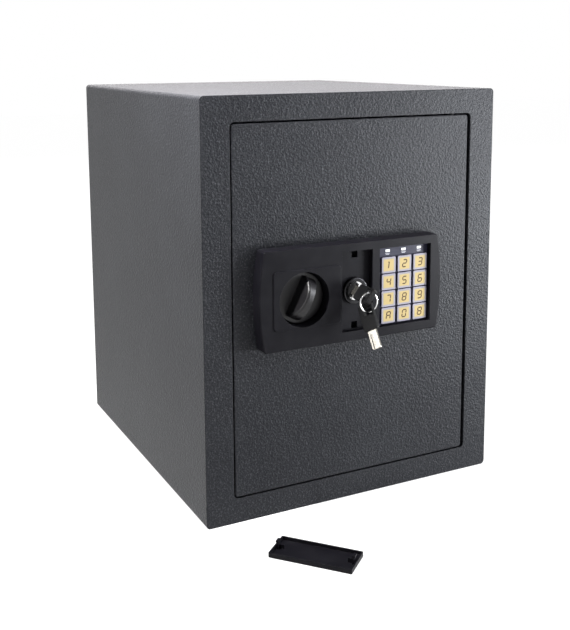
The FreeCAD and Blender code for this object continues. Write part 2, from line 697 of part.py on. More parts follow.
def add_bulged_outline(sketch, inset):
    """Straight long sides, and short sides that curve outward."""
    left = "-panel_left + %s" % inset
    right = "panel_right - %s" % inset
    low = "panel_low + %s" % inset
    high = "panel_high - %s" % inset
    x0, x1, z0, z1 = [number(text) for text in (left, right, low, high)]
    bulge = number("panel_bulge")
    middle = (z0 + z1) / 2
    vector = FreeCAD.Vector
    sketch.addGeometry(Part.LineSegment(vector(x0, z0, 0), vector(x1, z0, 0)))
    sketch.addGeometry(Part.Arc(vector(x1, z0, 0), vector(x1 + bulge, middle, 0), vector(x1, z1, 0)))
    sketch.addGeometry(Part.LineSegment(vector(x1, z1, 0), vector(x0, z1, 0)))
    sketch.addGeometry(Part.Arc(vector(x0, z1, 0), vector(x0 - bulge, middle, 0), vector(x0, z0, 0)))
    sketch.addConstraint(Sketcher.Constraint("Horizontal", 0))
    sketch.addConstraint(Sketcher.Constraint("Horizontal", 2))
    for geometry in range(4):
        after = (geometry + 1) % 4
        end, start = nearest_ends(sketch, geometry, after)
        sketch.addConstraint(Sketcher.Constraint("Coincident", geometry, end, after, start))
    dimension(sketch, "DistanceX", 0, 1, left)
    dimension(sketch, "DistanceY", 0, 1, low)
    dimension(sketch, "DistanceX", 2, 1, right)
    dimension(sketch, "DistanceY", 2, 1, high)
    half = "((%s) - (%s)) / 2" % (high, low)
    dimension(sketch, "DistanceX", 0, 2, right)
    dimension(sketch, "DistanceX", 2, 2, left)
    radius = "((%s) * (%s) + panel_bulge * panel_bulge) / (2 * panel_bulge)" % (half, half)
    add_radius(sketch, 1, radius)
    add_radius(sketch, 3, radius)


def nearest_ends(sketch, first, second):
    """Which ends (1 or 2) of two pieces of an outline meet."""
    def gap(pair):
        return (sketch.getPoint(first, pair[0]) - sketch.getPoint(second, pair[1])).Length
    return min([(a, b) for a in (1, 2) for b in (1, 2)], key=gap)


def bulged_block(name, inset, height, length):
    body = new_body(name)
    sketch = sketch_on(body, "XZ_Plane", name + "_outline", height)
    add_bulged_outline(sketch, inset)
    last = pad(body, sketch, length, name + "_pad")
    DOC.recompute()
    return body, last


def window_block(name, grow, y_low, y_high):
    return block(name, ("window_left - %s" % grow, "window_right + %s" % grow), (y_low, y_high),
                 ("window_low - %s" % grow, "window_high + %s" % grow))


def key_places():
    """The twelve keys: name, column centre and row centre."""
    names = (("key_a", "key_0", "key_b"), ("key_7", "key_8", "key_9"),
             ("key_4", "key_5", "key_6"), ("key_1", "key_2", "key_3"))
    places = []
    for row, row_names in enumerate(names):
        for column, name in enumerate(row_names):
            x = "key_first + %d * key_pitch_x" % column
            z = "key_bottom + %d * key_pitch_z" % row
            places.append((name, x, z))
    return places


def square_at(name, x, z, side, y_low, y_high):
    half = "(%s) / 2" % side
    return block(name, ("%s - %s" % (x, half), "%s + %s" % (x, half)), (y_low, y_high),
                 ("%s - %s" % (z, half), "%s + %s" % (z, half)))


def make_lock_panel():
    """Moulded shell on the door: knob well, key recess with clip holes, and keypad window."""
    face = FRONT + " + panel_deep"
    outer, last = bulged_block("panel_outer", "0", FRONT, "panel_deep")
    last = round_edges(outer, last, "2.5", runs_along(1), "panel_corners")
    round_edges(outer, last, "panel_edge_round", lies_at(1, -number(face)), "panel_front_edge")
    DOC.recompute()
    hollow, _ = bulged_block("panel_hollow", "panel_skin", FRONT + " - 1", "panel_deep - panel_skin + 1")
    shell = cut("panel_shell", outer, [hollow])
    door = "-" + FRONT
    front = "-(%s)" % face
    field = ("-plateau_left", "-recess_left - 1.5", "plateau_low", "plateau_high")
    plateau, raised = slab("panel_plateau", "XZ_Plane", field, face + " - 1", "2", "4", 1)
    round_edges(plateau, raised, "0.6", lies_at(1, number(front) - 1), "plateau_edge")
    DOC.recompute()
    well = ("-knob_left", door, "knob_level")
    well_bottom = ("-knob_left", door + " - well_floor", "knob_level")
    members = [
        shell,
        plateau,
        cylinder("well_wall", well, "well_radius + 2", "panel_deep", "front"),
        block("recess_box", ("-recess_left - 2", "recess_right + 2"),
              (front + " + 0.5", door + " - recess_floor + panel_skin"),
              ("recess_low - 2", "recess_high + 2")),
        window_block("window_box", "2", front + " + 0.5", door + " - label_face + label_thick + 2"),
    ]
    for index, (x, z) in enumerate(panel_screw_places()):
        members.append(cylinder("panel_boss_%d" % index, (x, door, z), "3.8", "panel_deep - 1", "front"))
    solid = fuse("panel_solid", members)
    bore = cylinder("well_bore", well_bottom, "well_radius", "panel_deep + 5", "front")
    solid = cut("panel_without_well", solid, [bore])
    return node(cut("lock_panel_cut", solid, panel_openings(door)), "lock_panel")


def panel_openings(door):
    """The tools that open the key recess, the keypad window and the panel's small holes."""
    far = door + " - panel_deep - 3"
    tools = [
        block("recess_bore", ("-recess_left", "recess_right"), (far, door + " - recess_floor"),
              ("recess_low", "recess_high")),
        window_block("window_bore", "0", far, door + " - label_face + label_thick"),
        cylinder("panel_shaft_hole", ("-knob_left", door + " - 4", "knob_level"),
                 "shaft_radius + 0.6", "5", "y"),
        cylinder("panel_lock_hole", ("-lock_left", door + " - recess_floor - 1", "lock_level"),
                 "lock_body_radius + 0.2", "6", "y"),
    ]
    centre = "(recess_low + recess_high) / 2"
    for label, sign in (("low", "-"), ("high", "+")):
        z = "%s %s clip_reach" % (centre, sign)
        tools.append(square_at("panel_clip_hole_" + label, "-lock_left", z, "clip_side",
                               door + " - recess_floor - 1", door + " - recess_floor + 4"))
    for name, x, z in key_places():
        tools.append(square_at("panel_hole_" + name, x, z, "key_stem + 1",
                               door + " - label_face - 1", door + " - label_face + 4"))
    for index, (x, z) in enumerate(panel_screw_places()):
        tools.append(cylinder("panel_screw_bore_%d" % index, (x, door + " + 1", z),
                              "panel_screw_radius", "9.2", "front"))
    return tools


def make_keypad():
    """Dark label plate with its status windows, and the circuit board behind the keys."""
    door = "-" + FRONT
    face = door + " - label_face"
    label_plate = window_block("label_block", "-0.2", face, face + " + label_thick")
    tools = []
    for name, x, z in key_places():
        tools.append(square_at("label_hole_" + name, x, z, "key_stem + 1", face + " - 1", face + " + 2"))
    lenses = []
    for column in range(3):
        x = "key_first + %d * key_pitch_x - lens_aside" % column
        x_span = (x + " - lens_half", x + " + lens_half")
        z_span = ("lens_low", "lens_high")
        tools.append(block("label_lens_hole_%d" % column, x_span, (face + " - 1", face + " + 2"), z_span))
        lenses.append(block("lens_%d" % column, x_span, (face + " - 0.25", face + " + label_thick"), z_span))
    node(cut("keypad_label_cut", label_plate, tools), "keypad_label")
    node(group("status_lens_set", lenses), "status_lenses")
    board = block("board_block", ("window_left - 4", "window_right + 1"),
                  (door + " - board_front", door + " - board_back"), ("window_low - 4", "window_high + 3"))
    node(board, "circuit_board")


def make_keys():
    """Twelve separate key caps, each with a stem that reaches its switch."""
    door = "-" + FRONT
    front = door + " - key_face"
    half = "key_side / 2"
    for name, x, z in key_places():
        outline = ("%s - %s" % (x, half), "%s + %s" % (x, half), "%s - %s" % (z, half), "%s + %s" % (z, half))
        cap, last = slab(name + "_cap", "XZ_Plane", outline, FRONT + " + key_face - key_cap",
                         "key_cap", "1.1", 1)
        round_edges(cap, last, "0.3", lies_at(1, number(front)), name + "_edge")
        DOC.recompute()
        stem = square_at(name + "_stem", x, z, "key_stem", front + " + key_cap - 0.2",
                         door + " - board_front - 1.4")
        node(fuse(name + "_solid", [cap, stem]), name)


# ---------------------------------------------------------------- knob, crank and bolts


def turned(tilt):
    """Local +Z to the front, then turned clockwise as seen from the front."""
    return turn((0, 1, 0), tilt).multiply(ALONG["front"])


def make_knob():
    """Disc with an arched finger grip, flared towards the disc. Local Z points to the front."""
    disc_thick = number("disc_face - well_floor - 0.5")
    disc = new_body("knob_disc")
    outline = sketch_on(disc, "XY_Plane", "knob_disc_outline", "well_floor + 0.5")
    add_circle(outline, "0", "0", "disc_radius")
    last = pad(disc, outline, "disc_face - well_floor - 0.5", "knob_disc_pad")
    round_edges(disc, last, "1", lies_at(2, number("well_floor + 0.5") + disc_thick), "knob_disc_edge")
    flank = new_body("knob_flank")
    section = sketch_on(flank, "XZ_Plane", "knob_flank_section")
    add_grip_section(section)
    pad(flank, section, "2 * grip_radius + 4", "knob_flank_pad", both_ways=True)
    DOC.recompute()
    arch = DOC.addObject("Part::Cylinder", "knob_arch")
    bind(arch, "Radius", "grip_radius")
    bind(arch, "Height", "grip_base + 2")
    arch.Placement = FreeCAD.Placement(FreeCAD.Vector(), ALONG["x"])
    bind(arch, "Placement.Base.x", "-(grip_base + 2) / 2")
    bind(arch, "Placement.Base.z", "disc_face - grip_sink")
    fin = DOC.addObject("Part::Common", "knob_fin")
    fin.Base = flank
    fin.Tool = arch
    DOC.recompute()
    rounded = DOC.addObject("Part::Fillet", "knob_fin_rounded")
    rounded.Base = fin
    rounded.Edges = [(index, 2.4, 2.4) for index, edge in enumerate(fin.Shape.Edges, 1) if is_crest(edge)]
    knob = fuse("knob_solid", [disc, rounded])
    place(knob, ("-knob_left", "-" + FRONT, "knob_level"), turned(number("grip_tilt")))
    return node(knob, "knob")


def is_crest(edge):
    """Picks the two long curved edges of the grip."""
    return not isinstance(edge.Curve, Part.Line) and edge.BoundBox.YLength > number("grip_radius")


def add_grip_section(sketch):
    """Trapezium: wide at the disc, narrow at the crest."""
    base = number("grip_base") / 2
    crest = number("grip_crest") / 2
    top = number("disc_face - grip_sink + grip_radius")
    bottom = number("disc_face - grip_sink")
    points = [(-base, bottom), (base, bottom), (crest, top), (-crest, top)]
    corners = [FreeCAD.Vector(x, z, 0) for x, z in points]
    for side in range(4):
        sketch.addGeometry(Part.LineSegment(corners[side], corners[(side + 1) % 4]))
    for side in range(4):
        sketch.addConstraint(Sketcher.Constraint("Coincident", side, 2, (side + 1) % 4, 1))
    formulas = (("-grip_base / 2", "disc_face - grip_sink"), ("grip_base / 2", "disc_face - grip_sink"),
                ("grip_crest / 2", "disc_face - grip_sink + grip_radius"),
                ("-grip_crest / 2", "disc_face - grip_sink + grip_radius"))
    for side, (x, z) in enumerate(formulas):
        dimension(sketch, "DistanceX", side, 1, x)
        dimension(sketch, "DistanceY", side, 1, z)


def make_knob_drive():
    """Shaft through the door, and the crank behind it whose pin drives the carriage."""
    door = "-" + FRONT
    axis = ("-knob_left", "knob_level")
    crank_front = door + " + door_plate_thick + 1.5"
    crank_back = crank_front + " + crank_sheet"
    shaft = cylinder("shaft_bar", (axis[0], door + " - well_floor - 0.5", axis[1]), "shaft_radius",
                     "well_floor + 0.5 + door_plate_thick + 1.5 + crank_sheet", "y")
    bore = cylinder("shaft_bore", (axis[0], crank_back + " + 1", axis[1]), "1.6", "8", "front")
    node(cut("knob_shaft_cut", shaft, [bore]), "knob_shaft")
    disc = cylinder("crank_disc", (axis[0], crank_front, axis[1]),
                    "crank_radius + crank_pin_radius + 1.5", "crank_sheet", "y")
    lead = math.radians(number("crank_lead"))
    pin_x = "-knob_left + crank_radius * %.6f" % math.sin(lead)
    pin_z = "knob_level + crank_radius * %.6f" % math.cos(lead)
    pin = cylinder("crank_pin", (pin_x, crank_front, pin_z), "crank_pin_radius", "10.5", "y")
    hole = cylinder("crank_hole", (axis[0], crank_front + " - 1", axis[1]), "shaft_radius", "5", "y")
    node(cut("knob_crank_cut", fuse("crank_solid", [disc, pin]), [hole]), "knob_crank")
    head = cylinder("crank_screw_head", (axis[0], crank_back, axis[1]), "6.5", "2", "y")
    shank = cylinder("crank_screw_shank", (axis[0], crank_back, axis[1]), "1.6", "7", "front")
    node(fuse("crank_screw_solid", [head, shank]), "crank_screw")


def stud_levels():
    return (("low", "bolt_low + 26"), ("high", "bolt_high - 20"))


def rounded_slot(name, x_low, x_high, z, half, y_low, y_high):
    """Tools for a level slot with round ends. The two x values are the end centres."""
    length = "(%s) - (%s)" % (y_high, y_low)
    middle = block(name + "_middle", (x_low, x_high), (y_low, y_high),
                   ("%s - %s" % (z, half), "%s + %s" % (z, half)))
    ends = [cylinder(name + "_end_%d" % index, (x, y_low, z), half, length, "y")
            for index, x in enumerate((x_low, x_high))]
    return fuse(name, [middle] + ends)


def make_carriage():
    """Flat plate with a flange for the bolts, a slot for the crank and a notched tongue."""
    front = "-%s + carriage_behind" % FRONT
    back = front + " + carriage_sheet"
    plate = block("carriage_plate", ("-carriage_left", "-carriage_right"), (front, back),
                  ("bolt_low - carriage_past", "bolt_high + carriage_past"))
    flange = block("carriage_flange", ("-carriage_left", "-carriage_left + carriage_flange"),
                   (front, front + " + 18"), ("bolt_low - carriage_past", "bolt_high + carriage_past"))
    tongue = block("carriage_tongue", ("-carriage_right - 1", "1"), (front, back),
                   ("tongue_low", "tongue_high"))
    solid = fuse("carriage_solid", [plate, flange, tongue])
    tools = []
    past = (front + " - 1", back + " + 1")
    for label, z in stud_levels():
        tools.append(rounded_slot("stud_slot_" + label, "-stud_left", "-stud_left + bolt_throw",
                                  z, "(3 + loose)", *past))
    half = "(crank_pin_radius + 0.6)"
    slot_x = "-knob_left + bolt_throw / 2"
    lowest = "crank_radius * %.5f" % math.cos(math.radians(number("crank_lead")))
    tools.append(block("crank_slot", (slot_x + " - " + half, slot_x + " + " + half), past,
                       ("knob_level + %s - %s" % (lowest, half), "knob_level + crank_radius + " + half)))
    for index, shift in enumerate(("0", "bolt_throw")):
        x = "-plunger_left + " + shift
        tools.append(block("notch_%d" % index, (x + " - plunger_radius - 0.4", x + " + plunger_radius + 0.4"),
                           past, ("tongue_low - 1", "tongue_low + 6.3")))
    for label, level in (("low", "bolt_low"), ("high", "bolt_high")):
        at = ("-carriage_left - 1", "-%s + bolt_behind" % FRONT, level)
        tools.append(cylinder("flange_hole_" + label, at, "2", "carriage_flange + 2", "x"))
    node(cut("bolt_carriage_cut", solid, tools), "bolt_carriage")


def make_bolts():
    """Two round bolts with chamfered tips, screwed to the carriage flange."""
    bolts = []
    screws = []
    axis_y = "-%s + bolt_behind" % FRONT
    for label, level in (("low", "bolt_low"), ("high", "bolt_high")):
        body = new_body("bolt_body_" + label)
        outline = sketch_on(body, "XY_Plane", "bolt_outline_" + label)
        add_circle(outline, "0", "0", "bolt_radius")
        last = pad(body, outline, "bolt_tip - carriage_left", "bolt_pad_" + label)
        at_tip = lies_at(2, number("bolt_tip - carriage_left"))
        round_edges(body, last, "1.2", at_tip, "bolt_tip_" + label, "Chamfer")
        place(body, ("-carriage_left", axis_y, level), turn((0, 1, 0), -90))
        hole = cylinder("bolt_tapping_" + label, ("-carriage_left - 12", axis_y, level), "2", "14", "x")
        bolts.append(cut("locking_bolt_" + label, body, [hole]))
        inside = "-carriage_left + carriage_flange"
        head = cylinder("bolt_screw_head_" + label, (inside, axis_y, level), "4.5", "3.5", "x")
        shank = cylinder("bolt_screw_shank_" + label, (inside + " - 13", axis_y, level), "2", "13", "x")
        screws.append(fuse("bolt_screw_" + label, [head, shank]))
    node(group("locking_bolt_pair", bolts), "locking_bolts")
    node(group("bolt_screw_pair", screws), "bolt_screws")


def make_carriage_studs():
    """Shouldered studs on the door plate that guide the carriage in its slots."""
    back = "-%s + door_plate_thick" % FRONT
    top = "-%s + carriage_behind + carriage_sheet + loose" % FRONT
    studs = []
    for label, z in stud_levels():
        base = ("-stud_left", back, z)
        foot = cylinder("stud_foot_" + label, base, "5", "carriage_behind - door_plate_thick - loose", "y")
        neck = cylinder("stud_neck_" + label, base, "3", "14", "y")
        head = cylinder("stud_head_" + label, ("-stud_left", top, z), "5", "2", "y")
        studs.append(fuse("stud_" + label, [foot, neck, head]))
    node(group("carriage_stud_pair", studs), "carriage_studs")


# ---------------------------------------------------------------- emergency lock and keys


def make_lock_housing():
    """Black collar in the key recess and the barrel through the door, with its nut."""
    door = "-" + FRONT
    seat = door + " - recess_floor"
    collar = new_body("lock_collar")
    ring = sketch_on(collar, "XZ_Plane", "collar_outline", FRONT + " + recess_floor")
    add_circle(ring, "-lock_left", "lock_level", "lock_collar_radius")
    last = pad(collar, ring, "lock_collar_high", "collar_pad")
    round_edges(collar, last, "1.3", lies_at(1, number(seat + " - lock_collar_high")), "collar_edge")
    DOC.recompute()
    barrel = cylinder("lock_barrel", ("-lock_left", seat, "lock_level"), "lock_body_radius", "22.5", "y")
    bore = cylinder("lock_bore", ("-lock_left", seat + " - 5", "lock_level"),
                    "plug_radius + running", "30", "y")
    node(cut("lock_housing_cut", fuse("lock_solid", [collar, barrel]), [bore]), "lock_housing")
    back = door + " + door_plate_thick"
    nut = hexagon("lock_nut_prism", ("-lock_left", back, "lock_level"),
                  "lock_nut_across", "lock_nut_thick", "y")
    hole = cylinder("lock_nut_hole", ("-lock_left", back + " - 1", "lock_level"),
                    "lock_body_radius", "lock_nut_thick + 2", "y")
    node(cut("lock_nut_cut", nut, [hole]), "lock_nut")


def key_block(name, x_half, y_half, z_span):
    """A box centred on the key's own axis, for parts that turn with the key."""
    return block(name, ("-(%s)" % x_half, x_half), ("-(%s)" % y_half, y_half), z_span)


def make_lock_plug():
    """Plug with a keyway. Local Z runs to the front from the door face, local Y is the key's width."""
    face = "recess_floor + plug_face"
    drum = cylinder("plug_drum", ("0", "0", "-13.3"), "plug_radius", face + " + 13.3")
    tail = cylinder("plug_tail", ("0", "0", "-cam_behind - cam_sheet"), "cam_half", "8")
    keyway = key_block("plug_keyway", "blade_thick / 2 + running", "blade_wide / 2 + running",
                       ("%s - blade_long + 2.3" % face, face + " + 1"))
    thread = cylinder("plug_thread", ("0", "0", "-cam_behind - cam_sheet - 1"), "1.5", "6")
    plug = cut("lock_plug_cut", fuse("plug_solid", [drum, tail]), [keyway, thread])
    place(plug, ("-lock_left", "-" + FRONT, "lock_level"), turned(number("key_tilt")))
    node(plug, "lock_plug")


def make_lock_cam():
    """Flat arm behind the lock that holds the solenoid plunger down."""
    behind = "-cam_behind - cam_sheet"
    length = "sqrt(cam_aside * cam_aside + cam_drop * cam_drop)"
    hub = cylinder("cam_hub", ("0", "0", behind), "cam_half + 3", "cam_sheet")
    arm = block("cam_arm", ("-cam_half", "cam_half"), ("-" + length, "0"), (behind, "-cam_behind"))
    tip = cylinder("cam_tip", ("0", "-" + length, behind), "cam_half", "cam_sheet")
    hole = cylinder("cam_hole", ("0", "0", behind + " - 1"), "cam_half", "cam_sheet + 2")
    cam = cut("lock_cam_cut", fuse("cam_solid", [hub, arm, tip]), [hole])
    tilt = math.degrees(math.atan2(number("cam_aside"), number("cam_drop")))
    place(cam, ("-lock_left", "-" + FRONT, "lock_level"), turned(tilt))
    node(cam, "lock_cam")
    seat = ("-lock_left", "-%s + cam_behind + cam_sheet" % FRONT, "lock_level")
    head = cylinder("cam_screw_head", seat, "5.5", "2.4", "y")
    shank = cylinder("cam_screw_shank", seat, "1.5", "5", "front")
    node(fuse("cam_screw_solid", [head, shank]), "cam_screw")


def make_key(prefix, place_key):
    """Flat steel blade with a groove, and a moulded bow with a hole for the ring.

    Local Z runs from the blade's tip to the bow, local Y is the width, and Z = 0 is the bow's outer end.
    """
    joint = "-bow_long"
    blade_body = new_body(prefix + "key_blade_body")
    outline = sketch_on(blade_body, "YZ_Plane", prefix + "blade_outline")
    add_rectangle(outline, "-blade_wide / 2", "blade_wide / 2", joint + " - blade_long", joint)
    last = pad(blade_body, outline, "blade_thick", prefix + "blade_pad", both_ways=True)
    tip = number(joint + " - blade_long")
    DOC.recompute()
    round_edges(blade_body, last, "1.4", key_tip_edge(tip), prefix + "blade_tip")
    grooves = []
    for side, x_span in (("near", ("blade_thick / 2 - 0.8", "blade_thick / 2 + 1")),
                         ("far", ("-blade_thick / 2 - 1", "-blade_thick / 2 + 0.8"))):
        z_span = (joint + " - blade_long - 1", joint + " - 3")
        y_span = ("-2.6", "-0.9") if side == "near" else ("0.9", "2.6")
        grooves.append(block(prefix + "groove_" + side, x_span, y_span, z_span))
    blade = cut(prefix + "key_blade_cut", blade_body, grooves)
    bow_body = new_body(prefix + "key_bow_body")
    plate = sketch_on(bow_body, "YZ_Plane", prefix + "bow_outline")
    add_rectangle(plate, "-bow_wide / 2", "bow_wide / 2", joint, "0")
    last = pad(bow_body, plate, "bow_thick", prefix + "bow_pad", both_ways=True)
    last = round_edges(bow_body, last, "2.2", runs_along(0), prefix + "bow_corners")
    round_edges(bow_body, last, "0.8", bow_rim, prefix + "bow_rim")
    DOC.recompute()
    hole = block(prefix + "bow_hole", ("-bow_thick", "bow_thick"),
                 ("bow_hole_aside - bow_hole_half", "bow_hole_aside + bow_hole_half"),
                 ("-bow_hole_in - bow_hole_rise", "-bow_hole_in + bow_hole_rise"))
    bow = cut(prefix + "key_bow_cut", bow_body, [hole])
    for piece, label in ((blade, "key_blade"), (bow, "key_bow")):
        place_key(piece)
        node(piece, prefix + label)


def key_tip_edge(tip):
    """Picks the two corners of the blade's tip."""
    def wanted(edge):
        return runs_along(0)(edge) and abs(edge.BoundBox.ZMin - tip) < 0.01
    return wanted


def bow_rim(edge):
    """Picks the outline edges of the bow's two flat sides."""
    bounds = edge.BoundBox
    return bounds.XLength < 0.01 and abs(abs(bounds.XMin) - number("bow_thick / 2")) < 0.01


def place_working_key(piece):
    place(piece, ("-lock_left", "-%s - bow_front" % FRONT, "lock_level"), turned(number("key_tilt")))


RING_CENTRE = ("-lock_left + 1.2", "-%s - bow_front + bow_hole_in" % FRONT, "lock_level - 6.3")


def make_key_ring():
    """Round wire ring through both bows, in an upright plane."""
    ring = DOC.addObject("Part::Torus", "ring_torus")
    bind(ring, "Radius1", "ring_radius")
    bind(ring, "Radius2", "ring_wire")
    place(ring, RING_CENTRE, ALONG["y"])
    node(ring, "key_ring")


def place_spare_key(piece):
    """Hangs from the foot of the ring, turned out and to the side."""
    hang = turn((0, 0, 1), 22).multiply(turn((0, 1, 0), 14)).multiply(turn((1, 0, 0), -30))
    hang = hang.multiply(turn((0, 0, 1), 180))
    hole = FreeCAD.Vector(0, number("bow_hole_aside"), -number("bow_hole_in"))
    offset = [-part for part in hang.multVec(hole)]
    base = (RING_CENTRE[0] + " + (%.4f)" % offset[0],
            RING_CENTRE[1] + " + (%.4f)" % offset[1],
            RING_CENTRE[2] + " - ring_radius + (%.4f)" % offset[2])
    place(piece, base, hang)


# ---------------------------------------------------------------- solenoid, batteries and leads


def make_solenoid():
    """Open steel frame, coil, plunger with collar and cross pin, and the return spring."""
    half = "solenoid_side / 2"
    axis_y = "-%s + door_plate_thick + %s" % (FRONT, half)
    x_span = ("-plunger_left - " + half, "-plunger_left + " + half)
    y_span = ("%s - %s" % (axis_y, half), "%s + %s" % (axis_y, half))
    solid = block("solenoid_block", x_span, y_span, ("solenoid_low", "solenoid_high"))
    hollow = block("solenoid_hollow", (x_span[0] + " - 1", x_span[1] + " + 1"),
                   (y_span[0] + " + solenoid_sheet", y_span[1] + " - solenoid_sheet"),
                   ("solenoid_low + solenoid_sheet", "solenoid_high - solenoid_sheet"))
    at = ("-plunger_left", axis_y)
    bore = cylinder("solenoid_bore", at + ("solenoid_low - 1",), "plunger_radius + loose", "50")
    through = fuse("solenoid_through", [hollow, bore])
    node(cut("solenoid_frame_cut", solid, [through]), "solenoid_frame")
    coil = cylinder("coil_block", at + ("solenoid_low + solenoid_sheet",), "coil_radius",
                    "solenoid_high - solenoid_low - 2 * solenoid_sheet")
    coil_bore = cylinder("coil_bore", at + ("solenoid_low",), "plunger_radius + running", "60")
    node(cut("solenoid_coil_cut", coil, [coil_bore]), "solenoid_coil")
    rod = cylinder("plunger_rod", at + ("solenoid_low + 8",), "plunger_radius",
                   "plunger_tip - solenoid_low - 8")
    collar = cylinder("plunger_ring", at + ("solenoid_high + plunger_collar",), "4.2", "2")
    pin = cylinder("plunger_pin", at + ("plunger_pin_level",), "1.5", "8", "y")
    node(fuse("plunger_solid", [rod, collar, pin]), "solenoid_plunger")
    make_plunger_spring(at)


def make_plunger_spring(at):
    """Six open turns between the solenoid frame and the plunger's collar."""
    body = new_body("spring_body")
    section = sketch_on(body, "XZ_Plane", "spring_section")
    add_circle(section, "spring_radius", "0.5", "spring_wire")
    DOC.recompute()
    coil = body.newObject("PartDesign::AdditiveHelix", "spring_helix")
    coil.Profile = section
    coil.ReferenceAxis = (section, ["V_Axis"])
    coil.Mode = "height-turns-growth"
    coil.Height = 11
    coil.Turns = 6
    coil.Growth = 0
    DOC.recompute()
    place(body, at + ("solenoid_high",))
    node(body, "plunger_spring")


def make_battery_parts():
    """Plastic box behind the cover's window, four cells, their contacts and the lift-off lid."""
    back = "-%s + door_plate_thick" % FRONT
    rear = back + " + cover_depth - cover_sheet"
    outer = block("battery_outer", ("battery_left", "battery_right"), (rear + " - battery_deep", rear),
                  ("battery_low", "battery_high"))
    inner = block("battery_inner", ("battery_left + battery_skin", "battery_right - battery_skin"),
                  (rear + " - battery_deep + battery_skin", rear + " + 1"),
                  ("battery_low + battery_skin", "battery_high - battery_skin"))
    node(cut("battery_box_cut", outer, [inner]), "battery_box")
    cells = []
    contacts = []
    for index in range(4):
        x = "(battery_left + battery_right) / 2 + (%.1f) * cell_pitch" % (index - 1.5)
        low = "(battery_low + battery_high - cell_long) / 2"
        at = (x, rear + " - battery_deep + 2 + cell_radius", low)
        can = cylinder("cell_can_%d" % index, at, "cell_radius", "cell_long")
        cap = cylinder("cell_cap_%d" % index, (at[0], at[1], low + " + cell_long"), "2.8", "1.2")
        cells.append(fuse("cell_%d" % index, [can, cap]))
        contacts.append(contact_plate(index, x, at[1], "battery_high - battery_skin - 0.4", "0.4"))
        contacts.append(contact_plate(index + 4, x, at[1], "battery_low + battery_skin", "0.4"))
    node(group("battery_set", cells), "batteries")
    node(group("contact_set", contacts), "battery_contacts")
    face = rear + " + cover_sheet"
    lid = block("lid_plate", ("battery_left + 1", "battery_right - 1"), (face + " + loose", face + " + 1.8"),
                ("battery_low", "battery_high"))
    plug = block("lid_plug", ("battery_left + 4.4", "battery_right - 4.4"), (face + " - 1", face + " + 0.5"),
                 ("battery_low + 3.4", "battery_high - 3.4"))
    node(fuse("battery_cover_solid", [lid, plug]), "battery_cover")
    stem = cylinder("reset_stem", ("reset_right", face + " - 7", "reset_level"), "3.2", "8.4", "y")
    node(stem, "reset_button")


def contact_plate(index, x, y, z, thick):
    return block("contact_%d" % index, (x + " - 4.5", x + " + 4.5"), (y + " - 5", y + " + 5"),
                 (z, "%s + %s" % (z, thick)))


def rounded_route(points):
    """Straight runs joined by tangent arcs, each arc as large as its two runs allow."""
    edges = []
    start = points[0]
    for index in range(1, len(points) - 1):
        corner = points[index]
        back = points[index - 1] - corner
        ahead = points[index + 1] - corner
        half_turn = (math.pi - back.getAngle(ahead)) / 2
        setback = 0.45 * min(back.Length, ahead.Length)
        radius = setback / math.tan(half_turn)
        print("lead bend radius %.1f mm" % radius)
        back.normalize()
        ahead.normalize()
        enter = corner + back * setback
        leave = corner + ahead * setback
        towards = back + ahead
        towards.normalize()
        middle = corner + towards * (radius / math.cos(half_turn) - radius)
        edges.append(Part.LineSegment(start, enter).toShape())
        edges.append(Part.Arc(enter, middle, leave).toShape())
        start = leave
    edges.append(Part.LineSegment(start, points[-1]).toShape())
    return Part.Wire(edges)


def make_lead(label, points, radius):
    """A lead clipped inside the door, swept along its route."""
    route = rounded_route([FreeCAD.Vector(*point) for point in points])
    start = FreeCAD.Vector(*points[0])
    direction = FreeCAD.Vector(*points[1]) - start
    profile = Part.Wire([Part.Circle(start, direction, radius).toShape()])
    tube = route.makePipeShell([profile], True, False)
    expected = math.pi * radius * radius * route.Length
    if abs(tube.Volume - expected) > 0.02 * expected:
        raise RuntimeError(label + " has the wrong volume")
    print("%s length %.0f mm" % (label, route.Length))
    feature = DOC.addObject("Part::Feature", label + "_tube")
    feature.Shape = tube
    node(feature, label)


def make_leads():
    board_back = -number(FRONT + " + board_back")
    lane = -number(FRONT) + 12
    coil_side = -number("plunger_left") + number("coil_radius")
    box_top = number("battery_high")
    lead_level = 191
    coil_level = 141
    to_coil = [(30, board_back, lead_level), (30, lane, lead_level), (22, lane + 1, coil_level),
               (coil_side, lane + 1, coil_level)]
    to_batteries = [(50, board_back, lead_level), (50, lane, lead_level), (60, lane + 6, 158),
                    (60, lane + 6, box_top)]
    make_lead("solenoid_lead", to_coil, 1.2)
    make_lead("battery_lead", to_batteries, 1.2)


# ---------------------------------------------------------------- loose cover of the key recess


